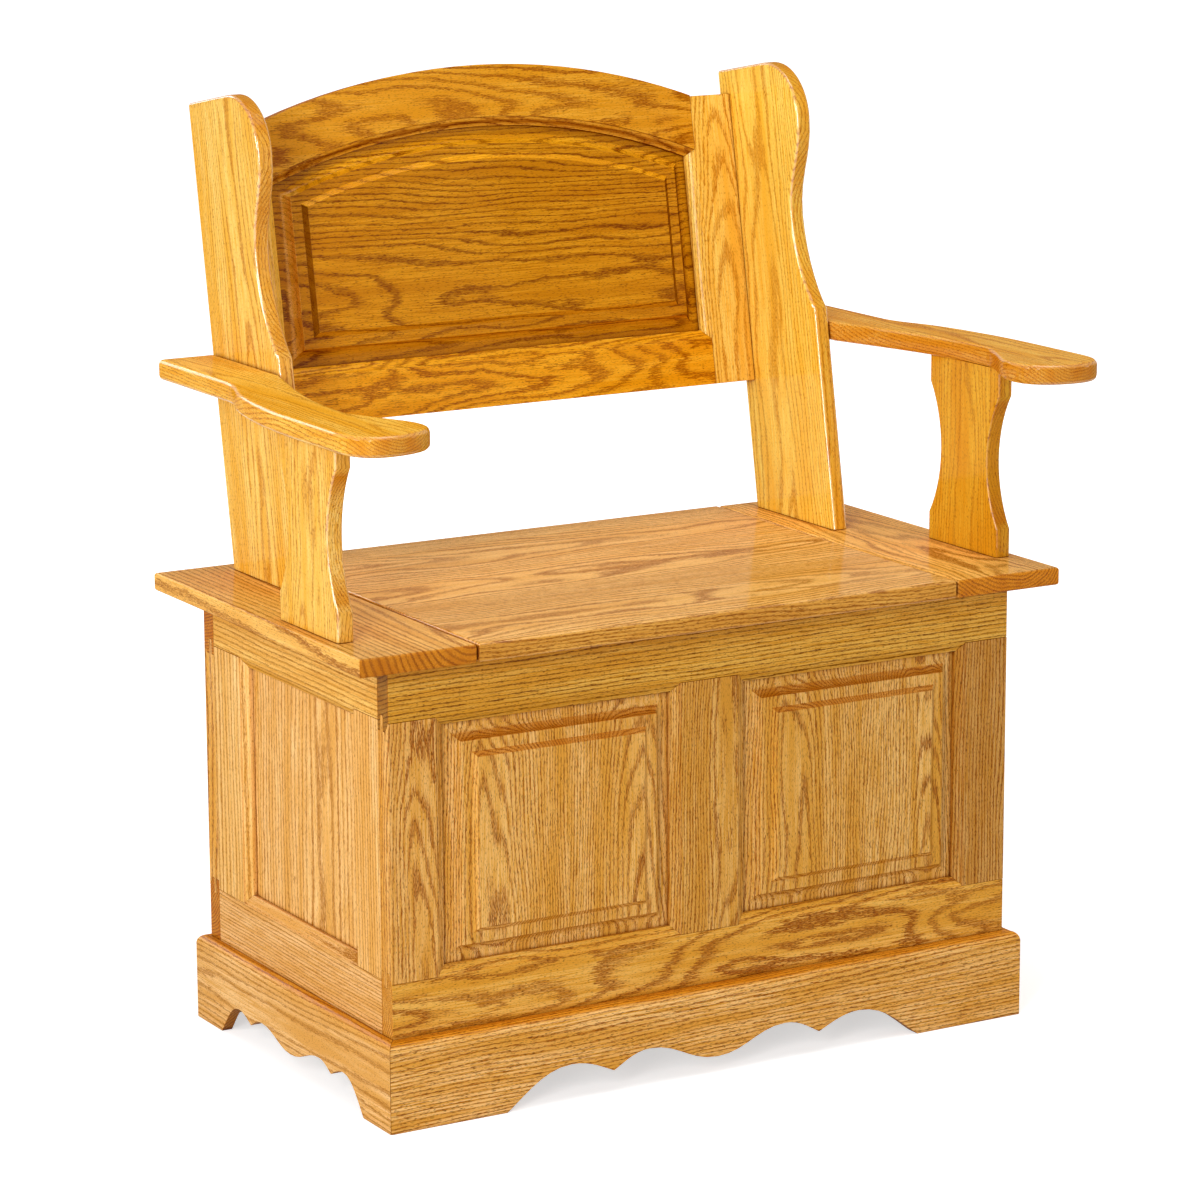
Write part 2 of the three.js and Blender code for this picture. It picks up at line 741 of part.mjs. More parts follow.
function buildArms() {
  const rear = postFoot + (armUnder - seatHeight) * Math.tan(rake) - armRearSetback;
  [-1, 1].forEach((side) => {
    const name = side < 0 ? 'left' : 'right';
    const from = Math.min(side * supportInset, side * (supportInset + supportThickness));
    const support = prism(supportOutline(), 'yz', from, from + supportThickness, supportRound);
    const room = block([-capOuter, capOuter], [0, caseDepth], [seatHeight + jointGap, armUnder - jointGap]);
    add(bench, `${name}_arm_support`, keep(support, [room]), oakUpright);
    const arm = prism(armOutline(side, rear), 'xy', armUnder, armUnder + armThickness, armRound);
    add(bench, `${name}_arm`, arm, oakUpright);
  });
}

// A countersunk screw with its head's face at the origin, pointing down -Z, or the hole for one
function screwGeometry(grow) {
  const profile = [
    [0, grow],
    [screwHeadRadius + grow, grow],
    [screwHeadRadius + grow, 0],
    [screwRadius + grow, -screwHeadDepth],
    [screwRadius + grow, screwPoint - screwLength],
    [0, -screwLength - grow],
  ];
  const points = profile.reverse().map(([radius, height]) => new THREE.Vector2(radius, height));
  return new THREE.LatheGeometry(points, turnSteps / 2).rotateX(Math.PI / 2);
}

// Screws through a lower leaf into the rear rail, and up through an upper leaf into the lid
function rearScrew(x, grow) {
  const face = caseDepth + jointGap + leafThickness;
  return screwGeometry(grow).rotateX(-Math.PI / 2).translate(x, face, hingeZ - leafWidth / 2);
}

function lidScrew(x, grow) {
  return screwGeometry(grow).rotateX(Math.PI).translate(x, hingeY - leafWidth / 2, caseTop + jointGap);
}

// A round bar on a hinge's axis
function hingeBar(x, radius, length) {
  const bar = new THREE.CylinderGeometry(radius, radius, length, turnSteps);
  return bar.rotateZ(Math.PI / 2).translate(x, hingeY, hingeZ);
}

// Room left round the knuckles of the other leaf
function knuckleRoom(from, to) {
  const reach = knuckleRadius + knuckleGap;
  return block(
    [from - knuckleGap, to + knuckleGap],
    [hingeY - reach, hingeY + reach],
    [hingeZ - reach, hingeZ + reach],
  );
}

// A butt hinge: the lower leaf with the two outer knuckles, the upper leaf with the middle one
function buildHinge(side) {
  const name = side < 0 ? 'left' : 'right';
  const x = side * hingePlace();
  const start = x - hingeLength / 2;
  const end = x + hingeLength / 2;
  const third = hingeLength / 3;
  const barrel = hingeBar(x, knuckleRadius, hingeLength);
  const bore = hingeBar(x, pinRadius + runningGap, hingeLength + overrun);
  const plateFace = caseDepth + jointGap;
  const lowerSpan = [hingeZ - leafWidth, hingeZ];
  const lowerPlate = block([start, end], [plateFace, plateFace + leafThickness], lowerSpan);
  const lowerHoles = screwPlaces(x).map((place) => rearScrew(place, jointGap / 2));
  const lowerRoom = knuckleRoom(start + third, end - third);
  const lower = cut(join(lowerPlate, barrel), [lowerRoom, bore, ...lowerHoles]);
  add(bench, `${name}_hinge_lower_leaf`, lower, brass);
  const upperTop = hingeZ + knuckleRadius;
  const upperSpan = [upperTop - leafThickness, upperTop];
  const upperPlate = block([start, end], [hingeY - leafWidth, hingeY], upperSpan);
  const upperHoles = screwPlaces(x).map((place) => lidScrew(place, jointGap / 2));
  const upperRooms = [knuckleRoom(start - overrun, start + third), knuckleRoom(end - third, end + overrun)];
  const upper = cut(join(upperPlate, barrel), [...upperRooms, bore, ...upperHoles]);
  add(bench, `${name}_hinge_upper_leaf`, upper, brass);
  add(bench, `${name}_hinge_pin`, hingeBar(x, pinRadius, hingeLength + 2 * pinHead), brass);
  screwPlaces(x).forEach((place, index) => {
    add(bench, `${name}_hinge_lower_screw_${index + 1}`, rearScrew(place, 0), brass);
    add(bench, `${name}_hinge_upper_screw_${index + 1}`, lidScrew(place, 0), brass);
  });
}

buildFront();
buildRear();
[-1, 1].forEach(buildSide);
buildBottom();
buildPlinth();
buildSeat();
buildPostsAndBack();
buildArms();
[-1, 1].forEach(buildHinge);

// The origin goes to the middle of the bench's footprint, on the floor
const box = new THREE.Box3().setFromObject(bench, true);
const centre = box.getCenter(new THREE.Vector3());
bench.position.set(-centre.x, -centre.y, 0);

export default bench;
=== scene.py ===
"""Settle bench in golden oak, dressed on its CAD frame. Metres, +Z up, front towards -Y."""
import math

import bpy
from mathutils import Matrix, Vector

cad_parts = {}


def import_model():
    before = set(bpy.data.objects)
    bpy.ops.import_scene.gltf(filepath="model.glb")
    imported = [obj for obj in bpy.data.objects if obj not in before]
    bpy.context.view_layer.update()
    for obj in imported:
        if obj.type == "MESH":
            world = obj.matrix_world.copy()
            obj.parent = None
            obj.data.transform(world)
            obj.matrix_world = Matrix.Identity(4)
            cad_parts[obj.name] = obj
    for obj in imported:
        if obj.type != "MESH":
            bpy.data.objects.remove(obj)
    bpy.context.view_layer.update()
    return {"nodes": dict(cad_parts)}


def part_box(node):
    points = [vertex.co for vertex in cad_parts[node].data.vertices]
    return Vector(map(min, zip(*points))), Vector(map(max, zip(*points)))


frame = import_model()

scene = bpy.context.scene
scene.view_settings.view_transform = "Standard"

RAKE = math.radians(10.1)
UP = (0.0, 0.0, 1.0)
ACROSS = (1.0, 0.0, 0.0)
ALONG = (0.0, 1.0, 0.0)
# The posts and the back lean by the rake: up along it, and square to it towards the rear
LEAN = (0.0, math.sin(RAKE), math.cos(RAKE))
BACKWARD = (0.0, math.cos(RAKE), -math.sin(RAKE))


class Tree:
    """Adds nodes to a node tree and links them, with constants set on their inputs."""

    def __init__(self, tree):
        self.tree = tree

    def add(self, kind, inputs=None, **settings):
        node = self.tree.nodes.new(kind)
        for key, value in settings.items():
            setattr(node, key, value)
        for key, value in (inputs or {}).items():
            self.put(node.inputs[key], value)
        return node

    def put(self, socket, value):
        if isinstance(value, bpy.types.NodeSocket):
            self.tree.links.new(value, socket)
        else:
            socket.default_value = value

    def math(self, operation, *values):
        inputs = dict(enumerate(values))
        return self.add("ShaderNodeMath", inputs, operation=operation).outputs[0]

    def plus(self, first, second):
        return self.math("ADD", first, second)

    def less(self, first, second):
        return self.math("SUBTRACT", first, second)

    def times(self, first, second):
        return self.math("MULTIPLY", first, second)

    def opposite(self, value):
        return self.times(value, -1.0)

    def size(self, value):
        return self.math("ABSOLUTE", value)

    def vector(self, operation, *values):
        node = self.add("ShaderNodeVectorMath", dict(enumerate(values)), operation=operation)
        return node.outputs["Value" if operation in ("DOT_PRODUCT", "LENGTH") else "Vector"]

    def towards(self, vector, direction):
        return self.vector("DOT_PRODUCT", vector, tuple(direction))

    def combine(self, x, y, z):
        return self.add("ShaderNodeCombineXYZ", {0: x, 1: y, 2: z}).outputs[0]

    def step(self, value, low, high):
        """0 below low and 1 above high, smooth between."""
        inputs = {"Value": value, "From Min": low, "From Max": high}
        return self.add("ShaderNodeMapRange", inputs, interpolation_type="SMOOTHSTEP").outputs[0]

    def scale(self, value, low, high):
        """Low where the value is 0 and high where it is 1."""
        inputs = {"Value": value, "To Min": low, "To Max": high}
        return self.add("ShaderNodeMapRange", inputs).outputs[0]

    def noise(self, vector, detail=1.0, rough=0.5):
        inputs = {"Vector": vector, "Scale": 1.0, "Detail": detail, "Roughness": rough}
        return self.add("ShaderNodeTexNoise", inputs, noise_dimensions="3D").outputs[0]

    def grains(self, vector, sizes, detail=1.0, rough=0.5):
        """Noise whose features have these sizes along the vector's axes."""
        shares = tuple(1 / size for size in sizes)
        return self.noise(self.vector("MULTIPLY", vector, shares), detail, rough)

    def mix(self, share, first, second, blend="MIX"):
        node = self.add("ShaderNodeMix", data_type="RGBA", blend_type=blend)
        for socket, value in zip((0, 6, 7), (share, first, second)):
            self.put(node.inputs[socket], value)
        return node.outputs[2]

    def tinted(self, first, second):
        return self.mix(1.0, first, second, "MULTIPLY")


def colour(red, green, blue):
    return (red, green, blue, 1.0)


PLAIN = colour(1.0, 1.0, 1.0)

# Inputs of the figure and their usual values, lengths in millimetres
FIGURE_INPUTS = {
    "Seed": 0.0, "Strip": 400.0, "Offset": 0.0, "Heart": 0.0, "Depth": 30.0, "Spread": 20.0,
    "Flat": 8.0, "Taper": 0.03, "Ring": 2.3, "Warp": 16.0, "Early": 0.5, "Jag": 0.9, "Line": 1.0,
    "Pore": 0.75,
}
FIGURE_COLOURS = ("Light", "Mid", "Dark", "Pores", "Tint")
# Sizes of its noises in millimetres, along the grain, across the board and through it
WIDE_WAVES = (220, 46, 60)
SMALL_WAVES = (30, 10, 16)
JAGS = (13, 0.95, 0.95)
DASHES = (5.5, 0.85, 0.85)
SMALL_PORES = (3.6, 0.5, 0.5)
STREAKS = (240, 17, 19)
FIBRES = (50, 1.3, 1.3)
# Where the dashes, pores, streaks and fibres begin to count, and where they count in full
DASH_STEP = (0.42, 0.53)
PORE_STEP = (0.62, 0.78)
STREAK_STEP = (0.36, 0.7)
FIBRE_STEP = (0.38, 0.66)
# Chance is drawn for each glued board from its number, its seed and this
CHANCE = 3.7
# How far chance moves a board along and across the log, and a seed along it, in millimetres
CHANCE_SHIFT = 900.0
SEED_SHIFT = 137.0
# What chance makes of the depth of the log's heart, and how much of the streaks' colour it adds
DEPTH_RANGE = (0.8, 1.3)
STREAKED_RANGE = (0.0, 0.25)
# The small waves as a share of the wide ones
SMALL_WARP = 0.07
# The early wood is whole for a share of its width, then fades, and the next ring's comes up
# between these shares of the ring
WHOLE_EARLY = 0.35
NEXT_EARLY = (0.93, 1.0)
# Strength of the early wood by the year, and between its dashes and in them
YEAR_RANGE = (0.6, 1.0)
DASH_RANGE = (0.55, 1.0)
# Pores crowd in the early wood
EARLY_CROWD = 0.16
# Height of the fibres as a share of the pores' depth
FIBRE_HEIGHT = 0.3


def figure_group():
    """Oak's figure in a board: growth rings cut along the grain, with rows of pores in each.

    The vector is in millimetres: x along the grain, y across the board and z through it.
    Strip is the width of the boards glued side to side, and Offset moves them across. Heart and
    Depth say where the middle of the log lies in each, across it and behind its face, and Spread
    how far chance moves it. Flat is how far the rings lie flat to both sides of it, Taper how
    fast the log narrows, Ring the width of a ring and Warp how far the rings wave. Early is the
    share of a ring that is early wood, and Jag how far the fibres break its edge, in rings. Line
    and Pore are the strength of the ring lines and of the pores."""
    group = bpy.data.node_groups.new("oak_figure", "ShaderNodeTree")
    face = group.interface
    for name, kind in [("Vector", "Vector"), *((n, "Float") for n in FIGURE_INPUTS),
                       *((n, "Color") for n in FIGURE_COLOURS)]:
        socket = face.new_socket(name=name, in_out="INPUT", socket_type=f"NodeSocket{kind}")
        if name in FIGURE_INPUTS:
            socket.default_value = FIGURE_INPUTS[name]
    for name, kind in (("Color", "Color"), ("Height", "Float")):
        face.new_socket(name=name, in_out="OUTPUT", socket_type=f"NodeSocket{kind}")
    t = Tree(group)
    given = t.add("NodeGroupInput").outputs
    x, y, z = t.add("ShaderNodeSeparateXYZ", {0: given["Vector"]}).outputs

    # Boards glued edge to edge, each from its own place in the log
    place = t.plus(t.math("DIVIDE", t.plus(y, given["Offset"]), given["Strip"]), 0.5)
    number = t.combine(t.math("FLOOR", place), given["Seed"], CHANCE)
    chance = t.add("ShaderNodeTexWhiteNoise", {"Vector": number}, noise_dimensions="3D")
    luck = t.add("ShaderNodeSeparateColor", {0: chance.outputs["Color"]}).outputs
    local_y = t.times(t.less(t.math("FRACT", place), 0.5), given["Strip"])
    heart_y = t.plus(given["Heart"], t.times(t.less(luck[0], 0.5), given["Spread"]))
    heart_z = t.times(given["Depth"], t.scale(luck[1], *DEPTH_RANGE))
    shift = t.times(luck[2], CHANCE_SHIFT)
    long_x = t.plus(x, t.plus(shift, t.times(given["Seed"], SEED_SHIFT)))
    spot = t.combine(long_x, t.plus(local_y, shift), z)

    # Distance from the heart of the log, waved at two scales, and jagged along the fibres
    off_y = t.less(t.size(t.less(local_y, heart_y)), given["Flat"])
    off_y = t.math("MAXIMUM", off_y, 0.0)
    radius = t.vector("LENGTH", t.combine(0.0, off_y, t.plus(z, heart_z)))
    radius = t.plus(radius, t.times(long_x, given["Taper"]))
    for sizes, reach in ((WIDE_WAVES, given["Warp"]),
                         (SMALL_WAVES, t.times(given["Warp"], SMALL_WARP)),
                         (JAGS, t.times(given["Jag"], given["Ring"]))):
        radius = t.plus(radius, t.times(t.less(t.grains(spot, sizes), 0.5), reach))
    ring = t.math("DIVIDE", radius, given["Ring"])
    year = t.add("ShaderNodeTexWhiteNoise", {"W": t.math("FLOOR", ring)}, noise_dimensions="1D")
    within = t.math("FRACT", ring)
    late = t.step(within, t.times(given["Early"], WHOLE_EARLY), given["Early"])
    early = t.math("MAXIMUM", t.less(1.0, late), t.step(within, *NEXT_EARLY))
    early = t.times(early, t.scale(year.outputs["Value"], *YEAR_RANGE))

    # The early wood is broken into dashes along the grain, with fine open pores in them
    dashes = t.step(t.grains(spot, DASHES, rough=0.6), *DASH_STEP)
    broken = t.times(early, t.scale(dashes, *DASH_RANGE))
    crowd = t.plus(t.grains(spot, SMALL_PORES, detail=0.0), t.times(early, EARLY_CROWD))
    pores = t.step(crowd, *PORE_STEP)

    # Colour: broad streaks, fine fibres, the early wood, then the pores
    streak = t.grains(spot, STREAKS, detail=2.0)
    fibre = t.grains(spot, FIBRES, detail=2.0, rough=0.7)
    base = t.mix(t.step(streak, *STREAK_STEP), given["Light"], given["Mid"])
    base = t.mix(t.scale(luck[1], *STREAKED_RANGE), base, given["Mid"])
    base = t.mix(t.step(fibre, *FIBRE_STEP), base, given["Mid"])
    base = t.mix(t.times(broken, given["Line"]), base, given["Dark"])
    base = t.mix(t.times(pores, given["Pore"]), base, given["Pores"])
    base = t.tinted(base, given["Tint"])
    height = t.less(t.times(fibre, FIBRE_HEIGHT), pores)
    t.add("NodeGroupOutput", {"Color": base, "Height": height})
    return group


FIGURE = figure_group()

# Colours of the oak looks: clear wood, its streaks, the ring lines and the pores
LOOKS = {
    "base": dict(Light=colour(0.97, 0.6, 0.22), Mid=colour(0.75, 0.35, 0.045),
                 Dark=colour(0.4, 0.105, 0.003), Pores=colour(0.12, 0.028, 0.001)),
    "side": dict(Light=colour(1.0, 0.64, 0.265), Mid=colour(0.78, 0.39, 0.08),
                 Dark=colour(0.46, 0.17, 0.008), Pores=colour(0.28, 0.08, 0.002)),
    "seat": dict(Light=colour(1.0, 0.59, 0.21), Mid=colour(0.8, 0.39, 0.085),
                 Dark=colour(0.42, 0.14, 0.008), Pores=colour(0.26, 0.07, 0.003)),
    "upright": dict(Light=colour(1.0, 0.71, 0.2), Mid=colour(0.86, 0.44, 0.04),
                    Dark=colour(0.54, 0.18, 0.006), Pores=colour(0.33, 0.09, 0.002)),
    "bright": dict(Light=colour(1.0, 0.78, 0.21), Mid=colour(0.93, 0.5, 0.05),
                   Dark=colour(0.62, 0.24, 0.01), Pores=colour(0.42, 0.13, 0.003)),
    "back": dict(Light=colour(0.86, 0.385, 0.022), Mid=colour(0.6, 0.215, 0.004),
                 Dark=colour(0.25, 0.055, 0.0006), Pores=colour(0.17, 0.03, 0.0003)),
    "frame": dict(Light=colour(0.92, 0.45, 0.055), Mid=colour(0.78, 0.31, 0.012),
                  Dark=colour(0.38, 0.095, 0.0008), Pores=colour(0.24, 0.045, 0.0004)),
    "inside": dict(Light=colour(0.72, 0.47, 0.24), Mid=colour(0.62, 0.38, 0.17),
                   Dark=colour(0.44, 0.24, 0.09), Pores=colour(0.25, 0.12, 0.04)),
}

# Cut across its grain the wood takes the stain deeper: on a bevel, and on a sawn end
BEVEL_STAIN = colour(0.76, 0.54, 0.22)
END_STAIN = colour(0.7, 0.47, 0.16)
# Painted shade: the front top rail's ends are darker and greyer, as the cap above shades them
TOP_RAIL_END_SHADE = colour(0.5, 0.42, 0.32)
# The caps' ends take a deeper orange stain
CAP_END = colour(0.7, 0.45, 0.08)
# Painted highlight: the lid's ends are lighter and yellower, as light catches their rounded rim
LID_END_HIGHLIGHT = colour(1.0, 0.75, 0.3)
# The back panel's bevels are darker and greyer
BACK_BEVEL = colour(0.5, 0.42, 0.4)
# The narrow edges of the shaped boards and of the lid are darker than their faces
EDGE_STAIN = colour(0.68, 0.5, 0.34)
POST_EDGE = colour(0.85, 0.69, 0.46)
LID_EDGE = colour(0.72, 0.57, 0.2)
# Painted highlight: the rounded top edge of the plinth is tinted a deep orange, as where light
# runs along it
LEDGE_PAINTED_HIGHLIGHT = colour(0.84, 0.6, 0.14)
# Painted shade: the arch has a dark line along it, on the back top rail's faces that look down
ARCH_PAINTED_SHADE = colour(0.42, 0.25, 0.12)
# Corners and grooves are darkened: partly stain and varnish gathered there, partly painted shade
GROOVE_STAIN_AND_SHADE = colour(0.38, 0.19, 0.07)
# Painted top light: a raised panel's bevel that faces up is painted brighter
PAINTED_TOP_LIGHT = colour(1.38, 1.48, 1.75)
# Painted sheen: the cove at the raised panel's left is painted a pale sheen
PAINTED_SHEEN = colour(1.4, 1.75, 9.0)
# The faces that the photograph doesn't show: the rear of the back's stiles, and of its panel
# and rails, and the outer faces of the right post and the right arm support
STILE_REAR = colour(0.9, 0.74, 0.5)
BACK_REAR = colour(1.22, 1.24, 2.2)
POST_OUTSIDE = colour(1.0, 0.8, 0.75)
SUPPORT_OUTSIDE = colour(1.08, 0.93, 1.7)

# Where each stain, painted light and painted shade begins and where it is whole, by how far a face
# is turned its way: 1 is fully
EDGE_TURN = (0.5, 0.85)
BEVEL_TURN = (0.18, 0.5)
END_TURN = (0.75, 0.97)
LEFT_TURN = (0.1, 0.3)
PAINTED_TOP_LIGHT_TURN = (0.08, 0.2)
DOWNWARD_SHADE_TURN = (0.3, 0.75)
AWAY_TURN = (0.5, 0.8)
# Where the share of the bevel's and the end's colour changes, between faces against the grain's
# way and with it
GRAIN_TURN = (-0.05, 0.05)
# Where the rounded rim starts, coming from the edge, and where it stops before the face
RIM_START = (0.25, 0.45)
RIM_STOP = (0.8, 0.93)
# Walls this near make a place a groove, darkened most where it is least open
GROOVE_REACH = 0.007
GROOVE_SAMPLES = 6
GROOVE_STEP = (0.2, 0.8)
# How far from the middle of the panel the painted sheen starts, in millimetres, and its coat
SHEEN_START = (222.0, 224.0)
SHEEN_COAT = 0.5
# Share of the ring lines that is left on the bevels at the panel's left
LEFT_LINE = 0.25
# Relief of the pores and the fibres, in metres, and the millimetres of a metre on each axis
RELIEF = {"Strength": 0.35, "Distance": 0.0002}
MILLIMETRES = (1000.0, 1000.0, 1000.0)


def oak(name, origin, grain, width, look, gloss, seed, stained=1.0, under=1.0, edged=0.0,
        shine=1.0, pale=0.0, bevel=BEVEL_STAIN, end=END_STAIN, edge=EDGE_STAIN, low=PLAIN,
        away=ALONG, behind=PLAIN, **figure):
    """A varnished oak board, its grain laid along one direction from its own origin.

    The stained argument is the share of the bevel's and the end's colour, a darker staining on
    most boards, a painted highlight on the lid's ends and painted shade on the front top rail's,
    and under the part of it on faces that look against the grain's direction. Edged is the share
    of the edge's colour, a staining on most boards and a painted highlight on the plinth, and
    shine the coat on the rim. The low argument is painted shade on edges that face against the
    width's direction, and behind the tint of faces which look the way that away says. The pale
    argument turns on a raised panel's painted top light and the painted sheen on the cove at its
    left. The rest goes to the figure."""
    material = bpy.data.materials.new(name)
    material.use_nodes = True
    t = Tree(material.node_tree)
    shader = material.node_tree.nodes["Principled BSDF"]
    place = t.add("ShaderNodeTexCoord").outputs
    through = Vector(grain).cross(Vector(width))
    local = t.vector("SUBTRACT", place["Object"], tuple(origin))
    local = t.vector("MULTIPLY", local, MILLIMETRES)
    axes = [t.towards(local, axis) for axis in (grain, width, through)]
    wood = t.add("ShaderNodeGroup", node_tree=FIGURE)
    values = {"Vector": t.combine(*axes), "Seed": seed, "Tint": PLAIN, **LOOKS[look], **figure}
    for key, value in values.items():
        t.put(wood.inputs[key], value)

    # The edges, the bevels and the ends
    along = t.towards(place["Normal"], grain)
    facing = t.size(along)
    upward = t.towards(place["Normal"], width)
    stain_and_painted_light = t.mix(t.times(t.step(t.size(upward), *EDGE_TURN), edged), PLAIN, edge)
    share = t.scale(t.step(along, *GRAIN_TURN), stained * under, stained)
    stain_and_painted_light = t.mix(t.times(t.step(facing, *BEVEL_TURN), share), stain_and_painted_light, bevel)
    stain_and_painted_light = t.mix(t.times(t.step(facing, *END_TURN), share), stain_and_painted_light, end)

    # The painted top light and painted sheen on a raised panel's bevels, the painted shade on low
    # edges, the faces that look away, and the grooves, darkened partly by painted shade
    leftward = t.times(t.step(t.opposite(along), *LEFT_TURN), pale)
    sheen = t.times(leftward, t.step(t.opposite(axes[0]), *SHEEN_START))
    # Painted top light on a raised panel's bevels that face up
    stain_and_painted_light = t.mix(t.times(t.step(upward, *PAINTED_TOP_LIGHT_TURN), pale), stain_and_painted_light, PAINTED_TOP_LIGHT)
    # Painted sheen on the raised panel's left cove
    stain_and_painted_light = t.mix(sheen, stain_and_painted_light, PAINTED_SHEEN)
    # Painted shade on edges that face down
    stain_and_painted_light = t.tinted(stain_and_painted_light, t.mix(t.step(t.opposite(upward), *DOWNWARD_SHADE_TURN), PLAIN, low))
    turned = t.step(t.towards(place["Normal"], away), *AWAY_TURN)
    stain_and_painted_light = t.tinted(stain_and_painted_light, t.mix(turned, PLAIN, behind))
    # Painted shade, partly stain gathered there, darkens the grooves where walls are near
    openness = t.add("ShaderNodeAmbientOcclusion", {"Distance": GROOVE_REACH},
                     samples=GROOVE_SAMPLES).outputs["AO"]
    stain_and_painted_light = t.tinted(stain_and_painted_light, t.mix(t.step(openness, *GROOVE_STEP), GROOVE_STAIN_AND_SHADE, PLAIN))
    t.put(shader.inputs["Base Color"], t.tinted(wood.outputs["Color"], stain_and_painted_light))

    bump = t.add("ShaderNodeBump", {**RELIEF, "Height": wood.outputs["Height"]})
    t.put(shader.inputs["Normal"], bump.outputs[0])
    for key, value in gloss.items():
        shader.inputs[key].default_value = value
    if edged:
        # Between the face and the edge, the varnish on the rounded rim shines
        flat = t.size(t.towards(place["Normal"], through))
        rim = t.times(t.step(flat, *RIM_START), t.less(1.0, t.step(flat, *RIM_STOP)))
        t.put(shader.inputs["Coat Weight"], t.scale(rim, gloss["Coat Weight"], shine))
    if pale:
        t.put(shader.inputs["Coat Weight"], t.scale(sheen, gloss["Coat Weight"], SHEEN_COAT))
        t.put(wood.inputs["Line"], t.scale(leftward, 1.0, LEFT_LINE))
    return material


# Varnishes, and the dry wood inside the chest
WOOD = {"Roughness": 0.5, "Specular IOR Level": 0.0}
SATIN = {**WOOD, "Coat Weight": 0.13, "Coat Roughness": 0.09}
GLOSSY = {**WOOD, "Coat Weight": 0.08, "Coat Roughness": 0.1, "Coat IOR": 2.0}
DEEP = {**WOOD, "Coat Weight": 0.09, "Coat Roughness": 0.07}
SEAT = {**WOOD, "Coat Weight": 0.16, "Coat Roughness": 0.1}
DRY = {"Roughness": 0.75, "Specular IOR Level": 0.25}

# Ways that a board is cut from its log: straight lines, slightly arched lines, arched peaks,
# broad peaks, narrow boards glued side by side, and long lines in the middle or beside it
STRAIGHT = dict(Heart=190.0, Flat=0.0, Depth=60.0, Ring=3.3, Warp=8.0, Taper=0.01, Early=0.42,
                Jag=0.7)
RIFT = dict(Heart=70.0, Flat=6.0, Depth=40.0, Ring=3.4, Warp=12.0, Taper=0.02, Early=0.42,
            Jag=0.7)
PEAKED = dict(Flat=8.0, Depth=26.0, Ring=3.2, Warp=20.0, Taper=0.035, Early=0.45)
BROAD = dict(Flat=14.0, Depth=55.0, Ring=3.6, Warp=24.0, Taper=0.03)
GLUED = dict(Strip=155.0, Offset=70.0, Flat=9.0, Depth=24.0, Ring=3.2, Warp=17.0, Taper=0.033,
             Early=0.42, Jag=0.8)
LONG = dict(Flat=2.0, Depth=46.0, Ring=6.0, Warp=14.0, Taper=0.012, Early=0.4, Jag=0.5)
LONG_EDGE = dict(Heart=64.0, Flat=0.0, Depth=26.0, Ring=5.6, Warp=9.0, Taper=0.01, Early=0.4,
                 Jag=0.5)

# What the boards of one kind share
PLINTH = dict(edged=1.0, shine=0.2, edge=LEDGE_PAINTED_HIGHLIGHT)
RAISED = {**GLUED, "stained": 0.9, "under": 0.35}
ARM = {**LONG, "Ring": 3.0, "Line": 0.65, "stained": 0.5, "shine": 0.5}
POST = {**LONG, "Flat": 8.0, "edge": POST_EDGE}

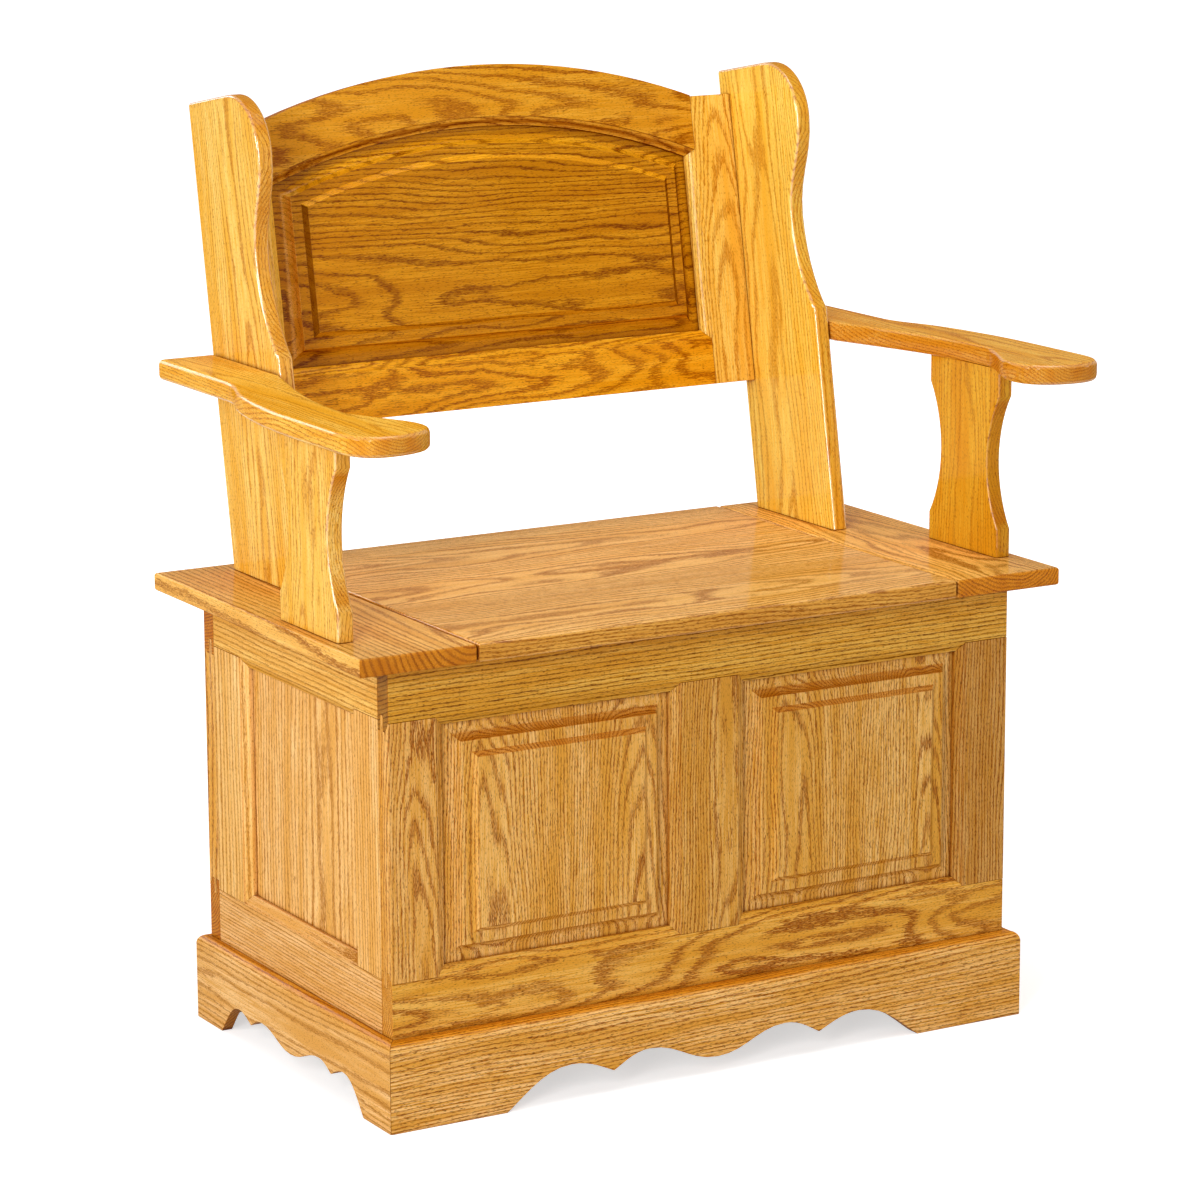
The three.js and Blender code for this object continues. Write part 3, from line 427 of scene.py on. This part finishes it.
# Grain, width, look, gloss and figure of each board
BOARDS = {
    "lid": (ACROSS, ALONG, "seat", SEAT, {
        **BROAD, "Strip": 158.0, "Spread": 60.0, "Taper": 0.02, "Ring": 3.3, "Warp": 18.0,
        "stained": 0.4, "edged": 0.8, "edge": LID_EDGE, "end": LID_END_HIGHLIGHT,
        "Tint": colour(1.04, 1.09, 1.02)}),
    "left_cap": (ALONG, ACROSS, "seat", SEAT, {
        **RIFT, "Ring": 7.0, "end": CAP_END, "Tint": colour(1.0, 1.0, 0.74)}),
    "right_cap": (ALONG, ACROSS, "seat", SEAT, {
        **BROAD, "end": CAP_END, "Tint": colour(1.12, 1.12, 0.8)}),
    "front_top_rail": (ACROSS, UP, "base", SATIN, {
        **STRAIGHT, "Ring": 4.2, "Early": 0.32, "end": TOP_RAIL_END_SHADE,
        "Dark": colour(0.2, 0.055, 0.002), "Tint": colour(0.86, 0.81, 0.4)}),
    "front_bottom_rail": (ACROSS, UP, "base", SATIN, {
        **BROAD, "Heart": 10.0, "stained": 0.25, "Tint": colour(0.96, 0.92, 0.6)}),
    "front_left_stile": (UP, ACROSS, "base", SATIN, {**PEAKED, "Tint": colour(0.94, 0.9, 0.82)}),
    "front_centre_stile": (UP, ACROSS, "base", SATIN, {
        **PEAKED, "Heart": 24.0, "Tint": colour(0.87, 0.84, 0.7)}),
    "front_right_stile": (UP, ACROSS, "base", SATIN, {**RIFT, "Tint": colour(0.72, 0.65, 0.52)}),
    "front_left_panel": (UP, ACROSS, "base", SATIN, {**RAISED, "Tint": colour(0.98, 0.98, 0.94)}),
    "front_right_panel": (UP, ACROSS, "base", SATIN, {**RAISED, "Tint": colour(0.93, 0.93, 0.85)}),
    "rear_top_rail": (ACROSS, UP, "base", SATIN, STRAIGHT),
    "rear_bottom_rail": (ACROSS, UP, "base", SATIN, RIFT),
    "rear_left_stile": (UP, ACROSS, "base", SATIN, STRAIGHT),
    "rear_right_stile": (UP, ACROSS, "base", SATIN, RIFT),
    "rear_panel": (UP, ACROSS, "base", SATIN, GLUED),
    "plinth_front": (ACROSS, UP, "base", SATIN, {**RIFT, **PLINTH}),
    "plinth_rear": (ACROSS, UP, "base", SATIN, {**RIFT, **PLINTH}),
    "plinth_left": (ALONG, UP, "side", SATIN, {
        **LONG, **PLINTH, "Ring": 4.5, "Tint": colour(0.92, 0.9, 0.9)}),
    "plinth_right": (ALONG, UP, "side", SATIN, {**LONG, **PLINTH, "Ring": 4.5}),
    "bottom_panel": (ACROSS, ALONG, "inside", DRY, {"Strip": 90.0}),
    "front_cleat": (ACROSS, UP, "inside", DRY, {}),
    "rear_cleat": (ACROSS, UP, "inside", DRY, {}),
    "back_panel": (ACROSS, LEAN, "back", DEEP, {
        **BROAD, "Heart": -70.0, "Ring": 4.8, "Early": 0.33, "Taper": 0.02, "Jag": 0.5,
        "pale": 1.0, "bevel": BACK_BEVEL, "behind": BACK_REAR, "Tint": colour(0.86, 0.88, 0.5)}),
    "back_top_rail": (ACROSS, LEAN, "frame", DEEP, {
        **BROAD, "Heart": -10.0, "edged": 1.0, "shine": 0.15, "low": ARCH_PAINTED_SHADE,
        "behind": BACK_REAR, "Tint": colour(0.9, 0.93, 0.7)}),
    "back_bottom_rail": (ACROSS, LEAN, "frame", DEEP, {
        **BROAD, "Ring": 2.8, "behind": BACK_REAR, "Tint": colour(1.03, 1.06, 0.45)}),
    "back_left_stile": (LEAN, ACROSS, "bright", GLOSSY, {**PEAKED, "behind": STILE_REAR}),
    "back_right_stile": (LEAN, ACROSS, "bright", GLOSSY, {**PEAKED, "behind": STILE_REAR}),
    "left_arm": (ALONG, ACROSS, "upright", GLOSSY, {
        **ARM, "edged": 0.15, "Tint": colour(1.0, 0.88, 0.55)}),
    "right_arm": (ALONG, ACROSS, "upright", GLOSSY, {
        **ARM, "edged": 0.5, "Tint": colour(0.93, 0.78, 0.5)}),
    "left_arm_support": (UP, ALONG, "upright", GLOSSY, {
        **PEAKED, "Ring": 2.7, "Flat": 14.0, "Early": 0.34, "edged": 0.2}),
    # Its tint is partly painted shade: the right arm support is darker, as less light reaches it
    "right_arm_support": (UP, ALONG, "upright", SATIN, {
        **LONG, "Ring": 3.0, "Line": 0.45, "edged": 0.4, "away": ACROSS,
        "behind": SUPPORT_OUTSIDE, "Tint": colour(0.83, 0.71, 0.22)}),
    "left_post": (LEAN, BACKWARD, "upright", GLOSSY, {
        **POST, "Ring": 2.8, "Early": 0.34, "Line": 0.8, "edged": 0.85}),
    "right_post": (LEAN, BACKWARD, "bright", GLOSSY, {
        **POST, "Heart": 12.0, "Ring": 3.4, "Early": 0.36, "Line": 0.9, "edged": 1.0,
        "away": ACROSS, "behind": POST_OUTSIDE, "Tint": colour(1.03, 1.07, 0.92)}),
}
for side in ("left", "right"):
    BOARDS.update({
        f"{side}_side_top_rail": (ALONG, UP, "side", SATIN, {
            **LONG_EDGE, "Tint": colour(0.92, 0.88, 0.54)}),
        f"{side}_side_bottom_rail": (ALONG, UP, "side", SATIN, {
            **LONG_EDGE, "Ring": 3.6, "Tint": colour(0.92, 0.89, 0.92)}),
        f"{side}_side_front_stile": (UP, ALONG, "side", SATIN, {**LONG_EDGE, "Ring": 5.0}),
        f"{side}_side_rear_stile": (UP, ALONG, "side", SATIN, {
            **LONG_EDGE, "Ring": 6.5, "Tint": colour(1.02, 1.06, 1.06)}),
        f"{side}_side_panel": (UP, ALONG, "side", SATIN, {**LONG, "Heart": -30.0}),
    })

# Bright and dull brass, how many features its brushing and its blotches have to a metre, and
# the range of its roughness
BRASS_COLOURS = (colour(0.44, 0.28, 0.085), colour(0.32, 0.19, 0.05))
BRUSHING = (300.0, 6000.0, 6000.0)
BLOTCHES = (160.0, 160.0, 160.0)
BRASS_ROUGHNESS = (0.25, 0.5)


def brass():
    """Plain brass with a brushed roughness."""
    material = bpy.data.materials.new("hinge_brass")
    material.use_nodes = True
    t = Tree(material.node_tree)
    shader = material.node_tree.nodes["Principled BSDF"]
    place = t.add("ShaderNodeTexCoord").outputs["Object"]
    grain = t.noise(t.vector("MULTIPLY", place, BRUSHING), detail=3.0)
    blotch = t.noise(t.vector("MULTIPLY", place, BLOTCHES), detail=2.0)
    t.put(shader.inputs["Base Color"], t.mix(blotch, *BRASS_COLOURS))
    t.put(shader.inputs["Roughness"], t.scale(grain, *BRASS_ROUGHNESS))
    shader.inputs["Metallic"].default_value = 1.0
    return material


def smooth_group():
    """Smooth shading, with edges sharper than the angle given kept sharp."""
    group = bpy.data.node_groups.new("smooth_by_angle", "GeometryNodeTree")
    for name, way, kind in (("Geometry", "INPUT", "Geometry"), ("Angle", "INPUT", "Float"),
                            ("Geometry", "OUTPUT", "Geometry")):
        group.interface.new_socket(name=name, in_out=way, socket_type=f"NodeSocket{kind}")
    t = Tree(group)
    given = t.add("NodeGroupInput").outputs
    angle = t.add("GeometryNodeInputMeshEdgeAngle").outputs["Unsigned Angle"]
    sharp = t.add("FunctionNodeCompare", {0: angle, 1: given["Angle"]},
                  operation="GREATER_THAN", data_type="FLOAT")
    flat = t.add("FunctionNodeBooleanMath", {0: sharp.outputs[0]}, operation="NOT")
    faces = t.add("GeometryNodeSetShadeSmooth", {
        "Geometry": given["Geometry"], "Shade Smooth": True}, domain="FACE")
    edges = t.add("GeometryNodeSetShadeSmooth", {
        "Geometry": faces.outputs[0], "Shade Smooth": flat.outputs[0]}, domain="EDGE")
    t.add("NodeGroupOutput", {0: edges.outputs[0]})
    return group


SMOOTH = smooth_group()
# Vertices nearer than this are one, and faces that differ by less than this angle one plane
WELD_DISTANCE = 0.00002
LEVEL_ANGLE = math.radians(0.6)
# Edges sharper than the first angle are rounded, and those sharper than the second stay sharp
BEVEL_ANGLE = math.radians(33)
SHARP_ANGLE = math.radians(58)
BEVEL_SEGMENTS = 2
NORMAL_WEIGHT = 90
# How far the edges of the boards and of the hinges are rounded
BOARD_ROUND = 0.0006
BRASS_ROUND = 0.0001


def soften(piece, width):
    """Rounds a piece's edges a little and shades its curves smooth."""
    weld = piece.modifiers.new("weld", "WELD")
    weld.merge_threshold = WELD_DISTANCE
    level = piece.modifiers.new("plane", "DECIMATE")
    level.decimate_type = "DISSOLVE"
    level.angle_limit = LEVEL_ANGLE
    bevel = piece.modifiers.new("bevel", "BEVEL")
    bevel.width = width
    bevel.segments = BEVEL_SEGMENTS
    bevel.limit_method = "ANGLE"
    bevel.angle_limit = BEVEL_ANGLE
    smooth = piece.modifiers.new("smooth", "NODES")
    smooth.node_group = SMOOTH
    angle = [item for item in SMOOTH.interface.items_tree if item.name == "Angle"][0]
    smooth[angle.identifier] = SHARP_ANGLE
    weight = piece.modifiers.new("weight", "WEIGHTED_NORMAL")
    weight.keep_sharp = True
    weight.weight = NORMAL_WEIGHT


BRASS = brass()
for seed, name in enumerate(sorted(frame["nodes"])):
    piece = frame["nodes"][name]
    low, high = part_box(name)
    if name in BOARDS:
        *ways, figure = BOARDS[name]
        material = oak(f"{name}_oak", (low + high) / 2, *ways, float(seed), **figure)
        soften(piece, BOARD_ROUND)
    else:
        material = BRASS
        soften(piece, BRASS_ROUND)
    piece.data.materials.clear()
    piece.data.materials.append(material)

# The photograph's camera, fitted to the bench's corners
CAMERA_PLACE = Vector((-2.22908, -3.82517, 1.42185))
AZIMUTH, ELEVATION, ROLL = (math.radians(angle) for angle in (-30.166, 12.380, -0.252))
SENSOR_WIDTH = 36.0
LENS = 130.795
CLIP_END = 100.0


def photo_camera():
    """The camera that shows the bench as the photograph does."""
    camera = bpy.data.objects.new("camera", bpy.data.cameras.new("camera"))
    scene.collection.objects.link(camera)
    level = math.cos(ELEVATION)
    back = Vector((math.sin(AZIMUTH) * level, -math.cos(AZIMUTH) * level, math.sin(ELEVATION)))
    right = (-back).cross(Vector(UP)).normalized()
    upward = right.cross(-back)
    turned_right = right * math.cos(ROLL) + upward * math.sin(ROLL)
    turned_up = upward * math.cos(ROLL) - right * math.sin(ROLL)
    turn = Matrix((turned_right, turned_up, back)).transposed().to_4x4()
    camera.matrix_world = Matrix.Translation(CAMERA_PLACE) @ turn
    camera.data.sensor_width = SENSOR_WIDTH
    camera.data.lens = LENS
    camera.data.clip_end = CLIP_END
    scene.camera = camera


photo_camera()

# Name, place, height of the point over the origin that it aims at, size, and power in watts
LIGHTS = (
    ("key", (-3.4, -3.2, 1.9), 0.6, (0.8, 2.6), 116.0),
    ("side", (-4.4, -0.3, 1.9), 0.45, (1.2, 1.2), 68.0),
    ("fill", (1.4, -4.3, 1.5), 0.45, (2.0, 2.0), 13.0),
    ("right", (3.9, -2.4, 1.3), 0.5, (1.0, 1.6), 26.0),
    ("rear", (-1.2, 4.6, 2.4), 0.45, (2.0, 2.0), 50.0),
    ("top", (0.3, -0.5, 4.3), 0.45, (2.5, 2.5), 62.0),
)
for name, place, height, size, power in LIGHTS:
    light = bpy.data.objects.new(name, bpy.data.lights.new(name, "AREA"))
    light.data.shape = "RECTANGLE"
    light.data.size, light.data.size_y = size
    light.data.energy = power
    light.location = place
    aim = Vector((0.0, 0.0, height)) - Vector(place)
    light.rotation_euler = aim.to_track_quat("-Z", "Y").to_euler()
    scene.collection.objects.link(light)

WHITE = colour(1.0, 1.0, 1.0)
ROOM_COLOUR = colour(1.0, 0.98, 0.95)
ROOM_STRENGTH = 0.3


def seen_share(t):
    """1 for rays from the camera and for mirrored and transmitted ones, 0 for all others."""
    ray = t.add("ShaderNodeLightPath").outputs
    bounced = t.math("MAXIMUM", ray["Is Glossy Ray"], ray["Is Transmission Ray"])
    return t.math("MAXIMUM", ray["Is Camera Ray"], bounced)


def world():
    """An even pale room, and plain white where the background shows."""
    room = bpy.data.worlds.new("room")
    scene.world = room
    room.use_nodes = True
    t = Tree(room.node_tree)
    nodes = room.node_tree.nodes
    dim = nodes["Background"]
    dim.inputs["Color"].default_value = ROOM_COLOUR
    dim.inputs["Strength"].default_value = ROOM_STRENGTH
    white = t.add("ShaderNodeBackground", {"Color": WHITE, "Strength": 1.0})
    mixed = t.add("ShaderNodeMixShader", {
        0: seen_share(t), 1: dim.outputs[0], 2: white.outputs[0]})
    t.put(nodes["World Output"].inputs["Surface"], mixed.outputs[0])


world()

FLOOR_REACH = 30.0
FLOOR_PAINT = colour(0.8, 0.8, 0.8)
FLOOR_BOUNCE = colour(0.6, 0.58, 0.55)
# The floor's glow near the bench and far from it, and where it changes
FLOOR_GLOW = (0.58, 1.0)
GLOW_STEP = (0.8, 3.5)


def floor():
    """A pale floor that keeps a faint shadow of the bench."""
    mesh = bpy.data.meshes.new("floor")
    reach = FLOOR_REACH
    corners = [(-reach, -reach, 0), (reach, -reach, 0), (reach, reach, 0), (-reach, reach, 0)]
    mesh.from_pydata(corners, [], [(0, 1, 2, 3)])
    plane = bpy.data.objects.new("floor", mesh)
    scene.collection.objects.link(plane)
    material = bpy.data.materials.new("floor")
    material.use_nodes = True
    t = Tree(material.node_tree)
    paint = t.add("ShaderNodeBsdfDiffuse", {"Color": FLOOR_PAINT})
    far = t.vector("LENGTH", t.add("ShaderNodeTexCoord").outputs["Object"])
    glow = t.add("ShaderNodeEmission", {
        "Color": WHITE, "Strength": t.scale(t.step(far, *GLOW_STEP), *FLOOR_GLOW)})
    lit = t.add("ShaderNodeAddShader", {0: paint.outputs[0], 1: glow.outputs[0]})
    dim = t.add("ShaderNodeBsdfDiffuse", {"Color": FLOOR_BOUNCE})
    mixed = t.add("ShaderNodeMixShader", {
        0: seen_share(t), 1: dim.outputs[0], 2: lit.outputs[0]})
    t.put(material.node_tree.nodes["Material Output"].inputs["Surface"], mixed.outputs[0])
    mesh.materials.append(material)


floor()

bpy.context.view_layer.update()
